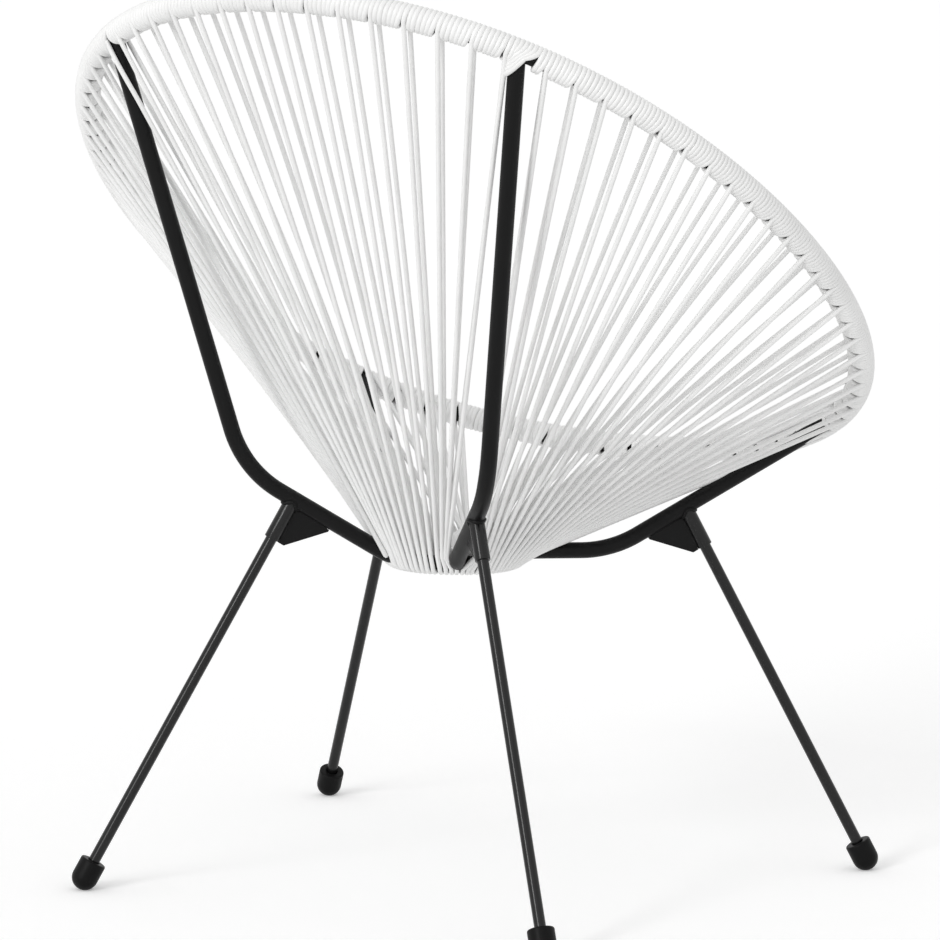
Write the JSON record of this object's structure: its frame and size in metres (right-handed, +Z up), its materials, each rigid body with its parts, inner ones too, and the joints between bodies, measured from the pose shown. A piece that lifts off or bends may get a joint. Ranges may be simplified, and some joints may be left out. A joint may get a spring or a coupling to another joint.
{
  "type": "acapulco chair",
  "caption": "Round lounge chair: a tilted oval tube rim strung with taut cord down to a small seat ring, carried by two bent side tubes on splayed rod legs with rubber caps.",
  "frame": {"origin": "on the floor, in the middle of the part's footprint box", "axes": "+Z up, -Y towards the open front of the seat, +X towards the sitter's left hand"},
  "size_m": [0.803, 0.679, 0.8889],
  "materials": {
    "frame_paint": "satin black powder coat",
    "cord": "smooth white solid plastic cord, semi-gloss",
    "foot_rubber": "matt black moulded rubber"
  },
  "bodies": {
    "root": {"side_tube_left": "frame_paint", "side_tube_right": "frame_paint", "rim_tube": "frame_paint", "seat_ring_right": "frame_paint", "seat_ring_front": "frame_paint", "seat_ring_rear": "frame_paint", "seat_ring_left": "frame_paint", "leg_socket_rear_left": "frame_paint", "gusset_rear_left": "frame_paint", "leg_rear_left": "frame_paint", "foot_cap_rear_left": "foot_rubber", "leg_socket_front_left": "frame_paint", "gusset_front_left": "frame_paint", "leg_front_left": "frame_paint", "foot_cap_front_left": "foot_rubber", "leg_socket_rear_right": "frame_paint", "gusset_rear_right": "frame_paint", "leg_rear_right": "frame_paint", "foot_cap_rear_right": "foot_rubber", "leg_socket_front_right": "frame_paint", "gusset_front_right": "frame_paint", "leg_front_right": "frame_paint", "foot_cap_front_right": "foot_rubber", "cord_rear_1": "cord", "cord_rear_2": "cord", "cord_rear_3": "cord", "cord_left_1": "cord", "cord_left_2": "cord", "cord_left_3": "cord", "cord_left_4": "cord", "cord_front_1": "cord", "cord_front_2": "cord", "cord_front_3": "cord", "cord_right_1": "cord", "cord_right_2": "cord", "cord_right_3": "cord", "cord_right_4": "cord"}
  },
  "joints": []
}
